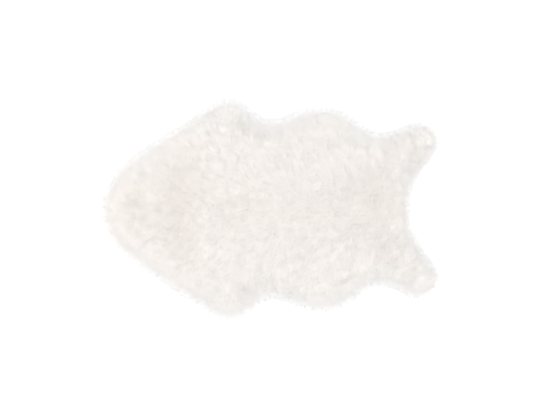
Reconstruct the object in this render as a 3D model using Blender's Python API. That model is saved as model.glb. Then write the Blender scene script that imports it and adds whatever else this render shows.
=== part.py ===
"""A white fur rug cut to the outline of a sheepskin, lying flat on the floor, as one solid.

Units are metres and +Z is up. +X runs along the rug to the end with two legs, and the rug's
two halves mirror each other across the XZ plane. The origin is on the floor, under the middle
of the fur's footprint.

The fur is one cloth: a cut edge, a lumpy pile that stands on it, and locks that fall over the
edge to the floor. The locks are short at the notch, because the nap leans away from there.
"""

import math
import random

import bmesh
import bpy
from mathutils import Vector, noise
from mathutils.geometry import delaunay_2d_cdt
from mathutils.kdtree import KDTree

NODE = "fur_rug"
SEED = 7

# The cut edge of one half, from the nose to the middle of the notch.
# Columns: distance along the rug, distance from its centre line, reach of the fur past the edge.
HALF_EDGE = (
    (-0.441, 0.000, 0.026),  # nose
    (-0.429, 0.052, 0.026),
    (-0.398, 0.098, 0.025),
    (-0.352, 0.133, 0.025),
    (-0.298, 0.172, 0.025),
    (-0.246, 0.203, 0.024),
    (-0.196, 0.240, 0.023),
    (-0.152, 0.270, 0.022),
    (-0.112, 0.282, 0.022),  # shoulder
    (-0.076, 0.267, 0.022),
    (-0.040, 0.240, 0.022),
    (0.004, 0.227, 0.023),  # waist
    (0.052, 0.240, 0.022),
    (0.097, 0.252, 0.023),
    (0.140, 0.260, 0.023),  # flank
    (0.182, 0.250, 0.023),
    (0.217, 0.231, 0.023),
    (0.252, 0.206, 0.023),
    (0.300, 0.192, 0.022),  # hollow behind the leg
    (0.345, 0.203, 0.022),
    (0.380, 0.218, 0.023),
    (0.405, 0.224, 0.022),  # leg
    (0.430, 0.214, 0.020),
    (0.446, 0.190, 0.017),
    (0.441, 0.165, 0.012),
    (0.424, 0.134, 0.008),  # inner side of the leg
    (0.398, 0.099, 0.008),
    (0.375, 0.060, 0.009),
    (0.365, 0.024, 0.014),
    (0.364, 0.000, 0.018),  # middle of the notch
)
SPLINE_STEPS = 12

# The pile, as heights above the floor.
PILE_HEIGHT = 0.040
RIM_HEIGHT = 0.023
RIM_UNEVENNESS = 0.003
SHOULDER_WIDTH = 0.070

# Soft hollows in the pile. Columns: centre along and across the rug, half length, half width, depth.
HOLLOWS = (
    (-0.235, 0.000, 0.045, 0.190, 0.005),  # across the neck
    (0.285, 0.000, 0.120, 0.060, 0.006),  # along the back, before the notch
    (0.000, 0.000, 0.110, 0.040, 0.003),  # along the back, in the middle
)

# The pile's surface is a lattice of triangles. Its tufts are domes, drawn out along the nap.
LATTICE_PITCH = 0.0125
LATTICE_JITTER = 0.18
EDGE_MARGIN = 0.62
TUFT_PITCH = 0.034
TUFT_JITTER = 0.30
TUFT_LENGTH = 0.026
TUFT_WIDTH = 0.0165
TUFT_RISE = 0.0135
TUFT_UNEVENNESS = 0.35
TUFTS_NEAR = 5
NAP_TO_NOSE = 0.8
NAP_TURN_WIDTH = 0.120
SWELL_SIZE = 0.085
SWELL_RISE = 0.003

# The locks at the rim. Columns: share of the reach, share of the root's width and of its height.
LOCK_COUNT = 256
LOCK_SECTIONS = (
    (0.52, 0.72, 0.72),
    (1.00, 0.15, 0.09),
)
SHORTEST_LOCK = 0.66
LOCK_LEAN = 0.22
TURN_SPAN = 3

FUR_COLOUR = (0.88, 0.85, 0.81, 1.0)
FUR_ROUGHNESS = 0.95
SHARP_ANGLE = math.radians(50)

# A length under the first is only rounding, and two points nearer than the second are one point.
ROUNDING = 1e-9
SAME_POINT = 1e-7


def clear_scene():
    for thing in list(bpy.data.objects):
        bpy.data.objects.remove(thing)


def rug_collection():
    made = bpy.data.collections.new("fur rug")
    bpy.context.scene.collection.children.link(made)
    return made


def spline_point(before, start, end, after, share):
    """The point that far along a Catmull-Rom span from start to end."""
    bend = 2 * before - 5 * start + 4 * end - after
    twist = 3 * (start - end) + after - before
    return start + 0.5 * share * (end - before + share * (bend + share * twist))


def cut_edge():
    """LOCK_COUNT points evenly spaced round the cut edge, anticlockwise, as x, y and reach."""
    right = [Vector((x, -y, reach)) for x, y, reach in HALF_EDGE]
    left = [Vector((x, y, reach)) for x, y, reach in HALF_EDGE[-2:0:-1]]
    ring = right + left
    count = len(ring)
    fine = [
        spline_point(ring[i - 1], ring[i], ring[(i + 1) % count], ring[(i + 2) % count], step / SPLINE_STEPS)
        for i in range(count)
        for step in range(SPLINE_STEPS)
    ]
    return evenly_spaced(fine, LOCK_COUNT)


def evenly_spaced(ring, count):
    """A closed ring of points again, as count points the same distance apart."""
    ends = ring[1:] + ring[:1]
    lengths = [(b.xy - a.xy).length for a, b in zip(ring, ends)]
    pitch = sum(lengths) / count
    spaced, passed = [], 0.0
    for a, b, length in zip(ring, ends, lengths):
        while len(spaced) * pitch < passed + length - ROUNDING and len(spaced) < count:
            spaced.append(a.lerp(b, (len(spaced) * pitch - passed) / length))
        passed += length
    return spaced


def tree_of(edge):
    tree = KDTree(len(edge))
    for index, point in enumerate(edge):
        tree.insert((point.x, point.y, 0.0), index)
    tree.balance()
    return tree


def depth_inside(x, y, edge, tree):
    """How far a point lies inside the cut edge. It is negative outside."""
    found, index, distance = tree.find((x, y, 0.0))
    along = edge[(index + 1) % len(edge)].xy - edge[index - 1].xy
    inward = Vector((-along.y, along.x)).normalized()
    return distance if inward.dot(Vector((x, y)) - found.xy) > 0 else -distance


def pile_height(x, y, inside):
    """The height of the smooth pile at a point that lies this far inside the cut edge."""
    share = min(1.0, max(0.0, inside / SHOULDER_WIDTH))
    height = RIM_HEIGHT + (PILE_HEIGHT - RIM_HEIGHT) * math.sin(share * math.pi / 2)
    for along, across, half_length, half_width, depth in HOLLOWS:
        away = ((x - along) / half_length) ** 2 + ((y - across) / half_width) ** 2
        height -= depth * math.exp(-away)
    swell = noise.noise(Vector((x, y, 0.0)) / SWELL_SIZE)
    return height + SWELL_RISE * swell * share


def nap_at(x, y):
    """The way the pile leans: towards the nose, and outwards on both sides of the centre line."""
    return Vector((-NAP_TO_NOSE, min(1.0, max(-1.0, y / NAP_TURN_WIDTH)))).normalized()


def lattice(pitch, jitter, reach, chance):
    """The points of a jittered lattice of triangles that covers the rug."""
    row_height = pitch * math.sqrt(3) / 2
    rows = math.ceil(reach / row_height)
    columns = math.ceil(reach / pitch)
    for row in range(-rows, rows + 1):
        for column in range(-columns, columns + 1):
            shift = Vector((chance.uniform(-1, 1), chance.uniform(-1, 1))) * jitter * pitch
            yield Vector(((column + row % 2 / 2) * pitch, row * row_height)) + shift


def tuft_centres(reach, chance):
    """A search tree of the tufts' centres, and each one's rise."""
    centres = list(lattice(TUFT_PITCH, TUFT_JITTER, reach, chance))
    tree = KDTree(len(centres))
    for index, centre in enumerate(centres):
        tree.insert(centre.to_3d(), index)
    tree.balance()
    rises = [TUFT_RISE * chance.uniform(1 - TUFT_UNEVENNESS, 1.0) for _ in centres]
    return tree, rises


def tuft_height(spot, centres):
    """How far the highest dome at a point stands over the smooth pile."""
    tree, rises = centres
    nap = nap_at(spot.x, spot.y)
    highest = 0.0
    for centre, index, _ in tree.find_n(spot.to_3d(), TUFTS_NEAR):
        away = spot - centre.xy
        along = away.dot(nap) / TUFT_LENGTH
        across = away.cross(nap) / TUFT_WIDTH
        highest = max(highest, rises[index] * (1 - along**2 - across**2))
    return highest


def pile_surface(edge, tree, chance):
    """The points of the pile's surface inside the cut edge."""
    reach = max(point.length for point in edge)
    centres = tuft_centres(reach, chance)
    found = []
    for spot in lattice(LATTICE_PITCH, LATTICE_JITTER, reach, chance):
        inside = depth_inside(spot.x, spot.y, edge, tree)
        if inside > EDGE_MARGIN * LATTICE_PITCH:
            fade = min(1.0, inside / TUFT_PITCH)
            height = pile_height(spot.x, spot.y, inside) + tuft_height(spot, centres) * fade
            found.append(Vector((spot.x, spot.y, height)))
    return found


def slab(bm, edge, surface):
    """The rug without its locks, and the upright faces round it, which are the locks' roots."""
    base = bm.faces.new([bm.verts.new((point.x, point.y, 0.0)) for point in edge])
    raised = bmesh.ops.extrude_face_region(bm, geom=[base], use_keep_orig=True)["geom"]
    lid = next(item for item in raised if isinstance(item, bmesh.types.BMFace))
    top_ring = list(lid.verts)
    for vert in top_ring:
        unevenness = noise.noise(vert.co / LATTICE_PITCH)
        vert.co.z = RIM_HEIGHT + RIM_UNEVENNESS * unevenness
    base.normal_flip()
    walls = [face for vert in top_ring for face in vert.link_faces if face is not lid]
    bmesh.ops.delete(bm, geom=[lid], context="FACES_ONLY")
    cover(bm, top_ring, surface)
    return list(dict.fromkeys(walls))


def cover(bm, ring, surface):
    """The pile's surface: triangles through the ring and all the surface's points."""
    flat = [vert.co.xy for vert in ring] + [point.xy for point in surface]
    inside_faces = 1
    made = delaunay_2d_cdt(flat, [], [list(range(len(ring)))], inside_faces, SAME_POINT)
    verts = ring + [bm.verts.new(point) for point in surface]
    for corners in made[2]:
        bm.faces.new([verts[made[3][corner][0]] for corner in corners])


def turn_at(edge, index):
    """How sharply the cut edge turns at a point, in radians a metre. It is negative in a hollow."""
    before, here, after = (edge[(index + step) % len(edge)].xy for step in (-TURN_SPAN, 0, TURN_SPAN))
    coming, going = here - before, after - here
    return math.atan2(coming.cross(going), coming.dot(going)) / coming.length


def grow_lock(bm, wall, edge, tree, chance):
    """Draws an upright face out into a lock of four sides that comes to rest on the floor."""
    low = sorted(wall.verts, key=lambda vert: vert.co.z)[:2]
    root = (low[0].co + low[1].co) / 2
    root_height = max(vert.co.z for vert in wall.verts)
    outward = wall.normal.copy()
    root_side = Vector((-outward.y, outward.x, 0.0)) * (low[0].co - low[1].co).length
    index = tree.find(root)[1]
    reach = edge[index].z * chance.uniform(SHORTEST_LOCK, 1.0)
    crowding = min(0.0, turn_at(edge, index)) * reach
    lean = chance.uniform(-LOCK_LEAN, LOCK_LEAN)
    face = wall
    for share, width, height in LOCK_SECTIONS:
        face = bmesh.ops.extrude_discrete_faces(bm, faces=[face])["faces"][0]
        side = root_side * (1 + crowding * share)
        centre = root + outward * reach * share + side * lean * share
        middle = face.calc_center_median()
        for vert in face.verts:
            is_high = vert.co.z > middle.z
            vert.co = centre + side * math.copysign(width / 2, (vert.co - middle).dot(side))
            vert.co.z = root_height * height if is_high else 0.0


def centre_on_origin(bm):
    """Moves the rug so that the origin lies under the middle of its footprint."""
    for axis in (0, 1):
        places = [vert.co[axis] for vert in bm.verts]
        middle = (min(places) + max(places)) / 2
        for vert in bm.verts:
            vert.co[axis] -= middle


def fur_material():
    made = bpy.data.materials.new("fur")
    made.use_nodes = True
    shader = made.node_tree.nodes["Principled BSDF"]
    shader.inputs["Base Color"].default_value = FUR_COLOUR
    shader.inputs["Roughness"].default_value = FUR_ROUGHNESS
    shader.inputs["Metallic"].default_value = 0.0
    return made


def fur_rug():
    chance = random.Random(SEED)
    edge = cut_edge()
    tree = tree_of(edge)
    bm = bmesh.new()
    walls = slab(bm, edge, pile_surface(edge, tree, chance))
    bm.normal_update()
    for wall in walls:
        grow_lock(bm, wall, edge, tree, chance)
    centre_on_origin(bm)
    bmesh.ops.recalc_face_normals(bm, faces=bm.faces)
    mesh = bpy.data.meshes.new(NODE)
    bm.to_mesh(mesh)
    bm.free()
    mesh.materials.append(fur_material())
    mesh.shade_smooth()
    mesh.set_sharp_from_angle(angle=SHARP_ANGLE)
    return bpy.data.objects.new(NODE, mesh)


def main():
    clear_scene()
    rug_collection().objects.link(fur_rug())


main()
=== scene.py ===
"""A white fur rug of sheepskin outline on a white floor, seen from straight above.

The rug is a thin skin with its cut edge, a body of dense underwool on it, and a long fleece of
fine hair that gathers in locks. The hair leans towards the nose and outwards, and at the back its
locks lean their own ways. At the rim it falls over the cut edge to the floor.
"""

import math

import bpy
import numpy as np
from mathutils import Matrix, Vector
from mathutils.bvhtree import BVHTree
from mathutils.geometry import delaunay_2d_cdt
from mathutils.kdtree import KDTree


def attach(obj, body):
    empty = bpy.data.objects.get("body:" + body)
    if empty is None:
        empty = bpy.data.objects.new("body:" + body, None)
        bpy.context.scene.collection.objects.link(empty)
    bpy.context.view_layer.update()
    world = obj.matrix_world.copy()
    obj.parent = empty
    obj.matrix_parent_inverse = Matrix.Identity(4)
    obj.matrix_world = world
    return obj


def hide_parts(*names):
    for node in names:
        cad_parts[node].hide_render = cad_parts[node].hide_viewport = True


CAD_NODE = "fur_rug"
BODY = "root"
SEED = 11

# A length under the first is only rounding, and two points nearer than the second are one point.
ROUNDING = 1e-12
SAME_POINT = 1e-7

# The cut edge of one half, from the nose to the middle of the notch.
# Columns: distance along the rug, distance from its centre line, reach of the fur past the edge.
HALF_EDGE = (
    (-0.441, 0.000, 0.026),  # nose
    (-0.429, 0.052, 0.026),
    (-0.398, 0.098, 0.025),
    (-0.352, 0.133, 0.025),
    (-0.298, 0.172, 0.025),
    (-0.246, 0.203, 0.024),
    (-0.196, 0.240, 0.023),
    (-0.152, 0.270, 0.022),
    (-0.112, 0.282, 0.022),  # shoulder
    (-0.076, 0.267, 0.022),
    (-0.040, 0.236, 0.022),
    (0.004, 0.221, 0.023),  # waist
    (0.052, 0.236, 0.022),
    (0.097, 0.252, 0.023),
    (0.140, 0.260, 0.023),  # flank
    (0.182, 0.250, 0.023),
    (0.217, 0.231, 0.023),
    (0.252, 0.203, 0.023),
    (0.300, 0.188, 0.022),  # hollow behind the leg
    (0.345, 0.199, 0.022),
    (0.380, 0.215, 0.023),
    (0.405, 0.224, 0.022),  # leg
    (0.430, 0.214, 0.020),
    (0.446, 0.190, 0.017),
    (0.441, 0.165, 0.012),
    (0.424, 0.134, 0.008),  # inner side of the leg
    (0.398, 0.099, 0.008),
    (0.375, 0.060, 0.009),
    (0.365, 0.024, 0.014),
    (0.364, 0.000, 0.018),  # middle of the notch
)
SPLINE_STEPS = 12
# The cut edge's table is this far from the CAD model, whose origin is under the fur's middle.
EDGE_SHIFT = (0.00204, 0.00031)
# Where the fur reaches less far, the edge is moved inwards under it.
LEAST_REACH = 0.015

# The maps of the rug's footprint, read by any spot.
MAP_LOW = (-0.52, -0.36)
MAP_PITCH = 0.002
MAP_COUNTS = (521, 361)
# A spot past a map's upper end is read this many points short of the count.
MAP_MARGIN = 1.001

# How often each map is softened over its neighbours.
OUTWARD_SMOOTHING = 2
HEIGHT_SMOOTHING = 5
SLOPE_SMOOTHING = 20
UNREST_SMOOTHING = 30

# The fur's reach past the edge varies by this share. The pile has its rim's height past the edge,
# and falls from there to the floor.
REACH_UNREST = 0.12
RIM_HEIGHT = 0.023
FALL_SHARPNESS = 0.5
# The CAD model's height is measured from this height down.
CAST_HEIGHT = 0.2

# The points inside the skin and the underwool keep this share of their pitch from the ring.
RING_CLEARANCE = 0.6

# The skin.
SKIN_THICKNESS = 0.0025
SKIN_PITCH = 0.016
SKIN_JITTER = 0.15
SKIN_RING_STEP = 2
SKIN_INSET = 0.0030

# The underwool. Its height is a share of the pile's, and it rounds down to its rim.
UNDERWOOL_INSET = 0.0045
UNDERWOOL_PITCH = 0.0045
UNDERWOOL_JITTER = 0.25
UNDERWOOL_BASE = 0.9 * SKIN_THICKNESS
UNDERWOOL_SHARE = 0.59
UNDERWOOL_RIM = 0.007
UNDERWOOL_ROUNDING = 0.030
# Its top is rough by this much, but for a smooth strip of this width along its edge.
UNDERWOOL_ROUGHNESS = 0.0006
UNDERWOOL_SMOOTH_STRIP = 0.004

# The hair. Each one is a tapered ribbon, with its widths at its points but the tip.
HAIR_PITCH = 0.00166
HAIR_JITTER = 0.45
HAIR_WIDTHS = (0.00120, 0.00115, 0.00085)
HAIR_ROLL = 0.25
SHORTEST_HAIR = 0.50
HAIR_TURN = 0.12
LEAN = 0.026
LEAN_SPREAD = 0.0085
# By the cut edge the hair leans out by its reach times this. Over the first width inwards it turns
# to the nap, and over the second it comes to spread from its neighbours.
OVERREACH = 1.45
SPLAY_WIDTH = 0.060
LOOSE_WIDTH = 0.020
# The nap's lean to the nose, and its lean outwards, which is full this far from the centre line.
# Both fade over a stretch of the back.
NAP_TO_NOSE = 0.9
NOSEWARD_FADES = (0.05, 0.30)
OUTWARD_WIDTH = 0.120
OUTWARD_FADES = (0.25, 0.36)
# A few hairs stray: they turn further and stand higher.
STRAY_SHARE = 0.02
STRAY_TURN = 0.6
STRAY_LIFT = 0.12
# How far inside the skin's edge each planting of hair goes: all over, and twice more at the rim.
PLANTINGS = (math.inf, 0.012, 0.004)
# A hair's height, as shares of the pile's height over it: at its root, at the lowest tip and at
# the highest, first by the cut edge and then well inside.
ROOT_SHARES = (0.10, 0.50)
LOWEST_TIPS = (0.04, 0.66)
HIGHEST_TIP = 1.03
HEIGHT_SETTLES = 0.030
# Under 1, more tips end high than low.
TIP_POWER = 0.7
# Under 1, a hair rises fastest at its root. Over 1, it joins its lock late.
RISE_POWER = 0.8
GATHER_POWER = 1.3
# A hair never sinks under the skin's top, but for its tip, by this share of the skin's thickness.
TIP_SINKS = 0.6
# How near the shading normals are to the whole pile's, and how much the pile's slopes count there.
NORMAL_EVENNESS = 0.86
NORMAL_SLOPE = 0.3
# The hair is in this many meshes, from the nose to the legs.
PIECES = 5

# The locks that the hair gathers in.
LOCK_PITCH = 0.0105
LOCK_JITTER = 0.42
LOCK_GATHER = 0.32
LOCK_TURN = 0.14
SHORTEST_LOCK = 0.80
LOCK_WAVE = 0.0010
WAVE_TURN = 5.0
OWN_WAY_FAN = 0.9

# The width of the rim's painted shade at the front and at the back, and the stretch over which it
# narrows.
RIM_WIDTHS = (0.067, 0.049)
RIM_NARROWS = (0.20, 0.40)
# Painted shade near the rim: how much of the light the fur keeps there, against its middle, darkest a
# little inside the cut edge.
# Columns: share of the rim's width inside the cut edge, red, green, blue.
RIM_PAINTED_SHADE = (
    (0.0, 0.938, 0.956, 0.973),
    (0.4, 0.912, 0.920, 0.926),
    (1.0, 1.000, 1.000, 1.000),
)

# Painted shade, with a warmer tone: where the fur is a little darker and warmer, for the pile's
# hollows along the centre line and across the neck and for the notch.
# Columns: centre along and across the rug, half length, half width, strength.
SHADED = (
    (0.288, 0.020, 0.042, 0.034, 1.00),  # before the notch
    (0.330, 0.000, 0.050, 0.070, 0.85),  # at the notch
    (0.120, 0.000, 0.120, 0.050, 0.10),  # along the back
    (-0.060, 0.000, 0.120, 0.050, 0.30),  # between the shoulders
    (-0.235, 0.000, 0.060, 0.190, 1.00),  # across the neck
    (-0.380, 0.000, 0.060, 0.090, 0.80),  # nose
)

# Colours and finishes.
TIP_COLOUR = (0.979, 0.962, 0.945)
ROOT_COLOUR = (0.955, 0.926, 0.896)
# The colour of the painted shade.
SHADE_COLOUR = (0.925, 0.894, 0.868)
HAIR_CLEARNESS = 0.50
HAIR_ROUGHNESS = 0.80
HAIR_SHEEN = 0.20
# The underwool is darker than the hair: partly its creamier tone, partly painted shade for the shade
# deep among its fibres.
UNDERWOOL_COLOURS = ((0.86, 0.835, 0.81), (0.83, 0.805, 0.78))
SKIN_COLOURS = ((0.78, 0.73, 0.65), (0.70, 0.64, 0.55))
MATT = 0.9
SPECULAR = 0.25
# How far the colours go towards the painted shade's and, in streaks, towards the root's.
SHADE_WEIGHT = 0.8
STREAK_WEIGHT = 0.25
# Under 1, a hair is whiter soon after its root.
WHITENING_POWER = 0.6
# Each hair's streaks come from a place of its own in the noise, up to this far away.
TONE_SPREAD = 60.0

# Noise patterns: scale, detail and stretch along each axis. Bumps: strength and distance.
CLOUDS = (14.0, 4.0, (1, 1, 1))
SUEDE = (900.0, 3.0, (1, 1, 1))
CLUMPS = (120.0, 3.0, (1, 1, 1))
FIBRES = (700.0, 2.0, (0.2, 1, 1))
STREAKS = (1.0, 2.0, (2.2, 0.5, 1.0))
SUEDE_BUMP = (0.4, 0.0004)
FIBRE_BUMP = (0.8, 0.0015)
STREAK_BUMP = (0.3, 0.0003)

# The sockets of a colour mix node: its factor, its two colours and its result.
MIX_FACTOR = 0
MIX_COLOURS = (6, 7)
MIX_RESULT = 2

# The lights and the floor. The light's spread is an angle in radians.
LIGHT_SPREAD = 0.6
LIGHT_STRENGTH = 1.69
WORLD_STRENGTH = 1.205
FLOOR_WHITENESS = 0.64
FLOOR_HALF = 6.0
FLOOR_DEPTH = 0.0002

# The camera is straight above, as wide as the photograph at the rug's height.
CAMERA_OVER = (0.0124, 0.0100)
CAMERA_HEIGHT = 3.2
FRAME_WIDTH = 1.5125
SENSOR_WIDTH = 36.0
FARTHEST_VIEW = 100


def unit(vectors):
    """Each row of an array at length one."""
    lengths = np.linalg.norm(vectors, axis=-1, keepdims=True)
    return vectors / np.maximum(lengths, ROUNDING)


def smooth_step(values, low, high):
    share = np.clip((values - low) / (high - low), 0.0, 1.0)
    return share * share * (3 - 2 * share)


# The cut edge and the maps.


def spline_point(before, start, end, after, share):
    """The point that far along a Catmull-Rom span from start to end."""
    bend = 2 * before - 5 * start + 4 * end - after
    twist = 3 * (start - end) + after - before
    return start + 0.5 * share * (end - before + share * (bend + share * twist))


def cut_edge():
    """The cut edge as a ring of points, anticlockwise, with columns x, y and reach."""
    right = [(x, -y, reach) for x, y, reach in HALF_EDGE]
    left = [(x, y, reach) for x, y, reach in HALF_EDGE[-2:0:-1]]
    ring = np.array(right + left)
    spans = [np.roll(ring, step, axis=0) for step in (1, 0, -1, -2)]
    shares = [step / SPLINE_STEPS for step in range(SPLINE_STEPS)]
    fine = np.stack([spline_point(*spans, share) for share in shares], axis=1)
    edge = fine.reshape(-1, 3)
    edge[:, :2] += EDGE_SHIFT
    short = np.maximum(LEAST_REACH - edge[:, 2:], 0.0)
    edge[:, :2] -= outward_of(edge[:, :2]) * short
    edge[:, 2:] += short
    return edge


def outward_of(edge):
    """The outward direction at each point of the cut edge."""
    along = np.roll(edge, -1, axis=0) - np.roll(edge, 1, axis=0)
    return unit(np.stack([along[:, 1], -along[:, 0]], axis=1))


def nearest(points, spots):
    """The index of the point nearest to each spot."""
    tree = KDTree(len(points))
    for index, (x, y) in enumerate(points[:, :2]):
        tree.insert((x, y, 0.0), index)
    tree.balance()
    return np.array([tree.find((x, y, 0.0))[1] for x, y in spots])


def map_spots():
    xs = MAP_LOW[0] + MAP_PITCH * np.arange(MAP_COUNTS[0])
    ys = MAP_LOW[1] + MAP_PITCH * np.arange(MAP_COUNTS[1])
    return np.stack(np.meshgrid(xs, ys, indexing="ij"), axis=-1).reshape(-1, 2)


def softened(values, times):
    """A map blurred over its neighbours that many times."""
    for _ in range(times):
        for axis in (0, 1):
            ahead, behind = np.roll(values, 1, axis), np.roll(values, -1, axis)
            values = (2 * values + ahead + behind) / 4
    return values


def cad_heights(spots, inside):
    """The CAD model's height over each spot inside the cut edge, and the rim's height elsewhere."""
    mesh = bpy.data.objects[CAD_NODE].data
    corners = [vertex.co for vertex in mesh.vertices]
    tree = BVHTree.FromPolygons(corners, [face.vertices for face in mesh.polygons])
    heights = np.full(len(spots), RIM_HEIGHT)
    down = Vector((0, 0, -1))
    for index in np.flatnonzero(inside > 0):
        x, y = spots[index]
        hit = tree.ray_cast(Vector((x, y, CAST_HEIGHT)), down)[0]
        if hit is not None:
            heights[index] = hit.z
    return heights


def make_maps(edge, chance):
    """Maps of the distance inside the cut edge, the way out, the fur's reach and the pile's height."""
    spots = map_spots()
    found = nearest(edge, spots)
    outward = outward_of(edge)[found]
    offset = spots - edge[found, :2]
    distance = np.linalg.norm(offset, axis=1)
    inside = np.where((offset * outward).sum(axis=1) < 0, distance, -distance)
    shaped = {
        "inside": inside,
        "out_x": outward[:, 0],
        "out_y": outward[:, 1],
        "reach": edge[found, 2],
        "height": cad_heights(spots, inside),
    }
    maps = {name: values.reshape(MAP_COUNTS) for name, values in shaped.items()}
    maps["out_x"] = softened(maps["out_x"], OUTWARD_SMOOTHING)
    maps["out_y"] = softened(maps["out_y"], OUTWARD_SMOOTHING)
    maps["reach"] = maps["reach"] * (1 + REACH_UNREST * unrest(chance))
    maps["height"] = softened(maps["height"], HEIGHT_SMOOTHING) * fall(maps)
    broad = softened(maps["height"], SLOPE_SMOOTHING)
    maps["slope_x"], maps["slope_y"] = np.gradient(broad, MAP_PITCH)
    return maps


def unrest(chance):
    """A map of smooth random values, about as often below nought as above."""
    values = softened(chance.normal(0.0, 1.0, MAP_COUNTS), UNREST_SMOOTHING)
    return np.clip(values / values.std(), -2.0, 2.0)


def fall(maps):
    """The share of its height that the fur keeps past the cut edge, down to nothing past its reach."""
    past = np.clip(-maps["inside"] / (OVERREACH * maps["reach"]), 0.0, 1.0)
    return (1 - past**2) ** FALL_SHARPNESS


def read(values, x, y):
    """A map's value at each spot, from the four map points round it."""
    across = np.clip((x - MAP_LOW[0]) / MAP_PITCH, 0, MAP_COUNTS[0] - MAP_MARGIN)
    up = np.clip((y - MAP_LOW[1]) / MAP_PITCH, 0, MAP_COUNTS[1] - MAP_MARGIN)
    i, j = across.astype(int), up.astype(int)
    a, b = across - i, up - j
    low = values[i, j] * (1 - a) + values[i + 1, j] * a
    high = values[i, j + 1] * (1 - a) + values[i + 1, j + 1] * a
    return low * (1 - b) + high * b


def lattice(pitch, jitter, chance):
    """The points of a jittered lattice of triangles over the map's whole field."""
    row_height = pitch * math.sqrt(3) / 2
    columns = int(-2 * MAP_LOW[0] / pitch)
    rows = int(-2 * MAP_LOW[1] / row_height)
    row, column = np.meshgrid(np.arange(rows), np.arange(columns), indexing="ij")
    x = MAP_LOW[0] + (column + row % 2 / 2) * pitch
    y = MAP_LOW[1] + row * row_height
    spots = np.stack([x.ravel(), y.ravel()], axis=1)
    return spots + chance.uniform(-jitter, jitter, spots.shape) * pitch


# Meshes.


def mesh_from(name, points, loops, starts, counts):
    """A mesh from arrays of its points and of its faces' corners."""
    mesh = bpy.data.meshes.new(name)
    mesh.vertices.add(len(points))
    mesh.vertices.foreach_set("co", points.astype(np.float32).ravel())
    mesh.loops.add(len(loops))
    mesh.loops.foreach_set("vertex_index", loops.astype(np.int32))
    mesh.polygons.add(len(starts))
    mesh.polygons.foreach_set("loop_start", starts.astype(np.int32))
    mesh.polygons.foreach_set("loop_total", counts.astype(np.int32))
    mesh.update(calc_edges=True)
    return mesh


def triangle_mesh(name, points, faces):
    faces = np.asarray(faces)
    starts = 3 * np.arange(len(faces))
    return mesh_from(name, np.asarray(points), faces.ravel(), starts, np.full(len(faces), 3))


def add_object(name, mesh, material):
    made = bpy.data.objects.new(name, mesh)
    bpy.context.scene.collection.objects.link(made)
    mesh.materials.append(material)
    return made


def filled(ring, within):
    """The corners' indices of triangles that fill a ring of points through those within it."""
    flat = [Vector(point) for point in np.concatenate([ring, within])]
    made = delaunay_2d_cdt(flat, [], [list(range(len(ring)))], 1, SAME_POINT)
    first = [came_from[0] for came_from in made[3]]
    return np.array([[first[corner] for corner in face] for face in made[2]])


def closed_slab(name, ring, within, top, bottom):
    """A closed mesh with upright sides on a flat base.

    Its top has the given heights over the ring and then over the points within.
    """
    flat = np.concatenate([ring, within])
    upper = np.column_stack([flat, top])
    lower = np.column_stack([ring, np.full(len(ring), bottom)])
    start, rim = len(flat), np.arange(len(ring))
    after = np.roll(rim, -1)
    walls = np.concatenate([
        np.stack([rim + start, after + start, after], axis=1),
        np.stack([rim + start, after, rim], axis=1),
    ])
    base = filled(ring, within[:0])[:, ::-1] + start
    every = np.concatenate([filled(ring, within), base, walls])
    return triangle_mesh(name, np.concatenate([upper, lower]), every)


# The skin and the underwool.


def make_skin(edge, chance):
    ring = (edge[:, :2] - outward_of(edge) * SKIN_INSET)[::SKIN_RING_STEP]
    spots = lattice(SKIN_PITCH, SKIN_JITTER, chance)
    inside = read(MAPS["inside"], spots[:, 0], spots[:, 1])
    within = spots[inside > SKIN_INSET + SKIN_PITCH * RING_CLEARANCE]
    top = np.full(len(ring) + len(within), SKIN_THICKNESS)
    mesh = closed_slab("skin", ring, within, top, 0.0)
    return add_object("skin", mesh, skin_material())


def make_underwool(edge, chance):
    ring = edge[:, :2] - outward_of(edge) * UNDERWOOL_INSET
    spots = lattice(UNDERWOOL_PITCH, UNDERWOOL_JITTER, chance)
    inside = read(MAPS["inside"], spots[:, 0], spots[:, 1])
    within = spots[inside > UNDERWOOL_INSET + UNDERWOOL_PITCH * RING_CLEARANCE]
    flat = np.concatenate([ring, within])
    depth = read(MAPS["inside"], flat[:, 0], flat[:, 1])
    height = read(MAPS["height"], flat[:, 0], flat[:, 1]) * UNDERWOOL_SHARE
    rounding = np.sqrt(np.clip(depth / UNDERWOOL_ROUNDING, 0.0, 1.0))
    top = UNDERWOOL_RIM + (height - UNDERWOOL_RIM) * rounding
    top += chance.normal(0.0, UNDERWOOL_ROUGHNESS, len(top)) * (depth > UNDERWOOL_SMOOTH_STRIP)
    mesh = closed_slab("underwool", ring, within, top, UNDERWOOL_BASE)
    mesh.shade_smooth()
    return add_object("underwool", mesh, underwool_material())


# The hair.


def nap_at(x, y):
    """The nap, at most one long: outwards on both sides and to the nose, and fading at the back."""
    across = np.clip(y / OUTWARD_WIDTH, -1.0, 1.0) * (1 - smooth_step(x, *OUTWARD_FADES))
    along = -NAP_TO_NOSE * (1 - smooth_step(x, *NOSEWARD_FADES))
    nap = np.stack([along, across], axis=1)
    return nap / np.maximum(np.linalg.norm(nap, axis=1, keepdims=True), 1.0)


def out_at(x, y):
    """The way out to the nearest part of the cut edge at each spot."""
    return unit(np.stack([read(MAPS["out_x"], x, y), read(MAPS["out_y"], x, y)], axis=1))


def lean_at(x, y):
    """How far and which way the hair leans from root to tip: along the nap, and out by the edge."""
    settled = smooth_step(read(MAPS["inside"], x, y), 0.0, SPLAY_WIDTH)[:, None]
    reach = OVERREACH * read(MAPS["reach"], x, y)[:, None]
    return nap_at(x, y) * LEAN * settled + out_at(x, y) * reach * (1 - settled)


def turned(vectors, angles):
    cosine, sine = np.cos(angles), np.sin(angles)
    x = vectors[:, 0] * cosine - vectors[:, 1] * sine
    y = vectors[:, 0] * sine + vectors[:, 1] * cosine
    return np.stack([x, y], axis=1)


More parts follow.
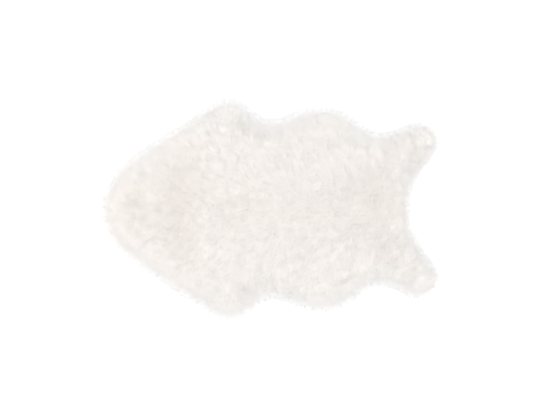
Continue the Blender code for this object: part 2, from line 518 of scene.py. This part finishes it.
def roots_within(width, chance):
    """Roots on the skin, no further inside its edge than that."""
    roots = lattice(HAIR_PITCH, HAIR_JITTER, chance)
    inside = read(MAPS["inside"], roots[:, 0], roots[:, 1]) - SKIN_INSET
    return roots[(inside > 0.0) & (inside < width)]


def between(pair, share):
    return pair[0] + (pair[1] - pair[0]) * share


def plant_hair(chance):
    """Where each hair grows, and what sets it apart from its neighbours."""
    roots = np.concatenate([roots_within(width, chance) for width in PLANTINGS])
    inside = read(MAPS["inside"], roots[:, 0], roots[:, 1])
    count = len(roots)
    stray = chance.random(count) < STRAY_SHARE
    turn = chance.normal(0.0, HAIR_TURN, count) + stray * chance.normal(0.0, STRAY_TURN, count)
    loose = smooth_step(inside, 0.0, LOOSE_WIDTH)[:, None]
    settled = smooth_step(inside, 0.0, HEIGHT_SETTLES)
    lowest = between(LOWEST_TIPS, settled)
    tips = lowest + (HIGHEST_TIP - lowest) * chance.uniform(0.0, 1.0, count) ** TIP_POWER
    return {
        "root": roots,
        "stray": stray,
        "turn": turn,
        "length": chance.uniform(SHORTEST_HAIR, 1.0, count),
        "spread": chance.normal(0.0, LEAN_SPREAD, (count, 2)) * loose,
        "loose": loose,
        "low": between(ROOT_SHARES, settled),
        "high": tips + STRAY_LIFT * stray * settled,
        "tone": chance.uniform(0.0, 1.0, count),
    }


def gather_locks(hair, chance):
    """Gives each hair its lock's turn, length, wave and tone, and its ways to and with the lock."""
    middles = lattice(LOCK_PITCH, LOCK_JITTER, chance)
    lock = nearest(middles, hair["root"])
    count = len(middles)
    hair["turn"] += chance.normal(0.0, LOCK_TURN, count)[lock]
    hair["length"] *= chance.uniform(SHORTEST_LOCK, 1.0, count)[lock]
    hair["phase"] = chance.uniform(0.0, 2 * math.pi, count)[lock]
    hair["lock_tone"] = chance.uniform(0.0, 1.0, count)[lock]
    hair["gather"] = (middles[lock] - hair["root"]) * LOCK_GATHER * ~hair["stray"][:, None]
    angle = chance.uniform(0.0, 2 * math.pi, count)[lock]
    angle = angle + chance.normal(0.0, OWN_WAY_FAN, len(lock))
    hair["own_way"] = np.stack([np.cos(angle), np.sin(angle)], axis=1)


def own_lean(hair, lean):
    """How far a lock leans its own way where the pile's lean is short.

    By the cut edge that way is along the edge.
    """
    out = out_at(hair["root"][:, 0], hair["root"][:, 1])
    own = hair["own_way"]
    outwards = (own * out).sum(axis=1, keepdims=True)
    own = unit(own - out * outwards * (1 - hair["loose"]))
    missing = np.maximum(LEAN - np.linalg.norm(lean, axis=1, keepdims=True), 0.0)
    return own * missing


def hair_paths(hair):
    """The points along each hair, from its root to its tip."""
    steps = len(HAIR_WIDTHS)
    spot = hair["root"].copy()
    level = unit(lean_at(spot[:, 0], spot[:, 1]))
    side = np.stack([-level[:, 1], level[:, 0]], axis=1)
    points = []
    for step in range(steps + 1):
        t = step / steps
        wave = LOCK_WAVE * np.sin(hair["phase"] + WAVE_TURN * t) * t
        place = spot + hair["gather"] * t**GATHER_POWER + side * wave[:, None]
        rise = hair["low"] + (hair["high"] - hair["low"]) * t**RISE_POWER
        height = read(MAPS["height"], place[:, 0], place[:, 1]) * rise
        lowest = SKIN_THICKNESS * (1 - TIP_SINKS * t)
        points.append(np.column_stack([place, np.maximum(height, lowest)]))
        lean = lean_at(spot[:, 0], spot[:, 1])
        way = turned(lean + own_lean(hair, lean), hair["turn"]) * hair["length"][:, None]
        spot = spot + (way + hair["spread"]) / steps
    return np.stack(points, axis=1)


def shade_at(x, y):
    """How much painted shade, darker and warmer, the fur has at each spot, from 0 to 1."""
    shade = np.zeros_like(x)
    for along, across, half_length, half_width, strength in SHADED:
        away = ((x - along) / half_length) ** 2 + ((y - across) / half_width) ** 2
        shade = np.maximum(shade, strength * np.exp(-away))
    return shade


def rim_at(x, y):
    """How far inside the cut edge each spot is, as a share of the rim's width, at most 1. It places
    the rim's painted shade.
    """
    width = between(RIM_WIDTHS, smooth_step(x, *RIM_NARROWS))
    return np.clip(read(MAPS["inside"], x, y) / width, 0.0, 1.0)


def ribbon_points(paths, chance):
    """The corners of a tapered ribbon along each path, and the ways that the ribbons face.

    There are two corners at each point of the path but the tip, and one there.
    """
    count = len(paths)
    along = unit(paths[:, -1] - paths[:, 0])
    level = unit(np.stack([along[:, 1], -along[:, 0], np.zeros(count)], axis=1))
    up = np.cross(level, along)
    roll = chance.uniform(-HAIR_ROLL, HAIR_ROLL, count)[:, None]
    side = level * np.cos(roll) + up * np.sin(roll)
    corners = []
    for step, width in enumerate(HAIR_WIDTHS):
        half = side * width / 2
        corners += [paths[:, step] - half, paths[:, step] + half]
    corners.append(paths[:, -1])
    return np.stack(corners, axis=1), np.cross(side, along)


def ribbon_faces(count):
    """The corners' indices of the quads and the tip triangle of that many ribbons."""
    per = 2 * len(HAIR_WIDTHS) + 1
    last = 2 * (len(HAIR_WIDTHS) - 1)
    quads = [(first, first + 1, first + 3, first + 2) for first in range(0, last, 2)]
    tip = [last, last + 1, last + 2]
    corners = np.array([corner for quad in quads for corner in quad] + tip)
    loops = (corners[None, :] + per * np.arange(count)[:, None]).ravel()
    totals = np.tile([4] * len(quads) + [3], count)
    starts = np.cumsum(totals) - totals
    return loops, starts, totals


def make_fleece(name, hair, paths, chosen, material, chance):
    corners, across = ribbon_points(paths[chosen], chance)
    count, per = corners.shape[:2]
    mesh = mesh_from(name, corners.reshape(-1, 3), *ribbon_faces(count))
    own = np.repeat(across, per, axis=0)
    normals = even_normals(corners.reshape(-1, 3), own)
    mesh.shade_smooth()
    mesh.normals_split_custom_set_from_vertices(normals.astype(np.float32))
    steps = len(HAIR_WIDTHS)
    write(mesh, "along", np.tile(np.repeat(np.arange(steps + 1) / steps, 2)[:per], count))
    write(mesh, "across", np.tile([-1.0, 1.0] * steps + [0.0], count))
    root = hair["root"][chosen]
    # The painted shade of the patches, by each hair's root.
    write(mesh, "shade", np.repeat(shade_at(root[:, 0], root[:, 1]), per))
    # The painted shade of the rim, by each hair's root.
    write(mesh, "rim", np.repeat(rim_at(root[:, 0], root[:, 1]), per))
    write(mesh, "tone", np.repeat((hair["tone"][chosen] + hair["lock_tone"][chosen]) / 2, per))
    return add_object(name, mesh, material)


def even_normals(points, own):
    """Shading normals between each hair's own and that of the whole pile there."""
    x, y = points[:, 0], points[:, 1]
    slope = np.stack([read(MAPS["slope_x"], x, y), read(MAPS["slope_y"], x, y)], axis=1)
    pile = np.column_stack([-NORMAL_SLOPE * slope, np.ones(len(points))])
    return unit(unit(pile) * NORMAL_EVENNESS + own * (1 - NORMAL_EVENNESS))


def write(mesh, name, values):
    layer = mesh.attributes.new(name, "FLOAT", "POINT")
    layer.data.foreach_set("value", values.astype(np.float32))


# Materials.


def new_material(name, colour, roughness):
    made = bpy.data.materials.new(name)
    made.use_nodes = True
    shader = made.node_tree.nodes["Principled BSDF"]
    shader.inputs["Base Color"].default_value = (*colour, 1.0)
    shader.inputs["Roughness"].default_value = roughness
    shader.inputs["Specular IOR Level"].default_value = SPECULAR
    return made, made.node_tree, shader


def attribute(tree, name):
    node = tree.nodes.new("ShaderNodeAttribute")
    node.attribute_name = name
    return node.outputs["Fac"]


def maths(tree, operation, a, b):
    node = tree.nodes.new("ShaderNodeMath")
    node.operation = operation
    for socket, value in zip(node.inputs, (a, b)):
        if isinstance(value, (int, float)):
            socket.default_value = value
        else:
            tree.links.new(value, socket)
    return node.outputs[0]


def colour_mix(tree, share, *colours):
    """A colour between two, which are each a triple or a socket."""
    node = tree.nodes.new("ShaderNodeMix")
    node.data_type = "RGBA"
    tree.links.new(share, node.inputs[MIX_FACTOR])
    for number, colour in zip(MIX_COLOURS, colours):
        if isinstance(colour, tuple):
            node.inputs[number].default_value = (*colour, 1.0)
        else:
            tree.links.new(colour, node.inputs[number])
    return node.outputs[MIX_RESULT]


def tinted(tree, share, tints, colour):
    """A colour times the tint that the table gives for a share."""
    ramp = tree.nodes.new("ShaderNodeValToRGB")
    ramp.color_ramp.interpolation = "EASE"
    stops = ramp.color_ramp.elements
    while len(stops) < len(tints):
        stops.new(0.5)
    for stop, (place, *tint) in zip(stops, tints):
        stop.position = place
        stop.color = (*tint, 1.0)
    tree.links.new(share, ramp.inputs[0])
    node = tree.nodes.new("ShaderNodeMix")
    node.data_type = "RGBA"
    node.blend_type = "MULTIPLY"
    node.inputs[MIX_FACTOR].default_value = 1.0
    for number, source in zip(MIX_COLOURS, (colour, ramp.outputs[0])):
        tree.links.new(source, node.inputs[number])
    return node.outputs[MIX_RESULT]


def pattern(tree, noise_sizes, vector=None):
    """Stretched noise over the object's own coordinates, or over another vector."""
    scale, detail, stretch = noise_sizes
    mapping = tree.nodes.new("ShaderNodeMapping")
    mapping.inputs["Scale"].default_value = stretch
    if vector is None:
        vector = tree.nodes.new("ShaderNodeTexCoord").outputs["Object"]
    tree.links.new(vector, mapping.inputs["Vector"])
    noise = tree.nodes.new("ShaderNodeTexNoise")
    noise.inputs["Scale"].default_value = scale
    noise.inputs["Detail"].default_value = detail
    tree.links.new(mapping.outputs[0], noise.inputs["Vector"])
    return noise.outputs["Fac"]


def add_bump(tree, shader, height, bump_sizes):
    strength, distance = bump_sizes
    bump = tree.nodes.new("ShaderNodeBump")
    bump.inputs["Strength"].default_value = strength
    bump.inputs["Distance"].default_value = distance
    tree.links.new(height, bump.inputs["Height"])
    tree.links.new(bump.outputs[0], shader.inputs["Normal"])


def skin_material():
    """Suede, with a short nap and faint clouds."""
    made, tree, shader = new_material("skin", SKIN_COLOURS[0], MATT)
    colour = colour_mix(tree, pattern(tree, CLOUDS), *SKIN_COLOURS)
    tree.links.new(colour, shader.inputs["Base Color"])
    add_bump(tree, shader, pattern(tree, SUEDE), SUEDE_BUMP)
    return made


def underwool_material():
    """Dense short fibres that lie along the rug."""
    made, tree, shader = new_material("underwool", UNDERWOOL_COLOURS[0], MATT)
    # Creamier than the hair, and darker by painted shade.
    colour = colour_mix(tree, pattern(tree, CLUMPS), *UNDERWOOL_COLOURS)
    tree.links.new(colour, shader.inputs["Base Color"])
    add_bump(tree, shader, pattern(tree, FIBRES), FIBRE_BUMP)
    return made


def hair_material():
    """Fine white hair: creamier at the root, whiter at the tip, with faint streaks along it, and
    painted shade in patches and near the rim.
    """
    made, tree, shader = new_material("fleece", TIP_COLOUR, HAIR_ROUGHNESS)
    along, across = attribute(tree, "along"), attribute(tree, "across")
    tone, shade, rim = attribute(tree, "tone"), attribute(tree, "shade"), attribute(tree, "rim")
    place = tree.nodes.new("ShaderNodeCombineXYZ")
    own_place = maths(tree, "MULTIPLY", tone, TONE_SPREAD)
    for socket, value in zip(place.inputs, (across, along, own_place)):
        tree.links.new(value, socket)
    streaks = pattern(tree, STREAKS, vector=place.outputs[0])
    colour = colour_mix(tree, maths(tree, "POWER", along, WHITENING_POWER), ROOT_COLOUR, TIP_COLOUR)
    # Painted shade near the rim.
    colour = tinted(tree, rim, RIM_PAINTED_SHADE, colour)
    # Painted shade in the darker patches.
    colour = colour_mix(tree, maths(tree, "MULTIPLY", shade, SHADE_WEIGHT), colour, SHADE_COLOUR)
    dim = maths(tree, "MULTIPLY", maths(tree, "MULTIPLY", tone, streaks), STREAK_WEIGHT)
    colour = colour_mix(tree, dim, colour, ROOT_COLOUR)
    tree.links.new(colour, shader.inputs["Base Color"])
    shader.inputs["Sheen Weight"].default_value = HAIR_SHEEN
    add_bump(tree, shader, streaks, STREAK_BUMP)
    through = tree.nodes.new("ShaderNodeBsdfTranslucent")
    tree.links.new(colour, through.inputs["Color"])
    mix = tree.nodes.new("ShaderNodeMixShader")
    mix.inputs[0].default_value = HAIR_CLEARNESS
    tree.links.new(shader.outputs[0], mix.inputs[1])
    tree.links.new(through.outputs[0], mix.inputs[2])
    tree.links.new(mix.outputs[0], tree.nodes["Material Output"].inputs["Surface"])
    return made


# The stage.


def make_floor():
    half = FLOOR_HALF
    corners = [(-half, -half, 0), (half, -half, 0), (half, half, 0), (-half, half, 0)]
    mesh = triangle_mesh("floor", corners, [(0, 1, 2), (0, 2, 3)])
    floor = add_object("floor", mesh, new_material("floor", (FLOOR_WHITENESS,) * 3, MATT)[0])
    floor.location.z = -FLOOR_DEPTH


def make_light():
    """A broad soft light from straight above."""
    light = bpy.data.lights.new("overhead", "SUN")
    light.angle = LIGHT_SPREAD
    light.energy = LIGHT_STRENGTH
    bpy.context.scene.collection.objects.link(bpy.data.objects.new("overhead", light))


def make_world():
    world = bpy.data.worlds.new("studio")
    world.use_nodes = True
    back = world.node_tree.nodes["Background"]
    back.inputs["Color"].default_value = (1, 1, 1, 1)
    back.inputs["Strength"].default_value = WORLD_STRENGTH
    bpy.context.scene.world = world


def make_camera():
    camera = bpy.data.cameras.new("camera")
    camera.sensor_width = SENSOR_WIDTH
    camera.lens = SENSOR_WIDTH * CAMERA_HEIGHT / FRAME_WIDTH
    camera.clip_end = FARTHEST_VIEW
    made = bpy.data.objects.new("camera", camera)
    made.location = (*CAMERA_OVER, CAMERA_HEIGHT)
    bpy.context.scene.collection.objects.link(made)
    bpy.context.scene.camera = made


def finish_piece(piece):
    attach(piece, BODY)


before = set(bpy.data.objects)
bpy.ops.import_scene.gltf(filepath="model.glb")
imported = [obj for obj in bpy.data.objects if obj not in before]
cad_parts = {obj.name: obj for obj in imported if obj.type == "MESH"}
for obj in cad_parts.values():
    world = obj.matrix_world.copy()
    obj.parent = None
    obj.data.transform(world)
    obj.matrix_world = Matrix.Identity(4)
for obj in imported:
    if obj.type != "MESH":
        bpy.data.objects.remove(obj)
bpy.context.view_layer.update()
chance = np.random.default_rng(SEED)
edge = cut_edge()
MAPS = make_maps(edge, chance)

skin = make_skin(edge, chance)
underwool = make_underwool(edge, chance)
hair = plant_hair(chance)
gather_locks(hair, chance)
paths = hair_paths(hair)
order = np.array_split(np.argsort(paths[:, 0, 0], kind="stable"), PIECES)
finish = hair_material()
fleece = [
    make_fleece(f"fleece_{number}", hair, paths, chosen, finish, chance)
    for number, chosen in enumerate(order, start=1)
]
for piece in [skin, underwool, *fleece]:
    finish_piece(piece)
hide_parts(CAD_NODE)

make_floor()
make_light()
make_world()
make_camera()
bpy.context.scene.view_settings.view_transform = "Standard"
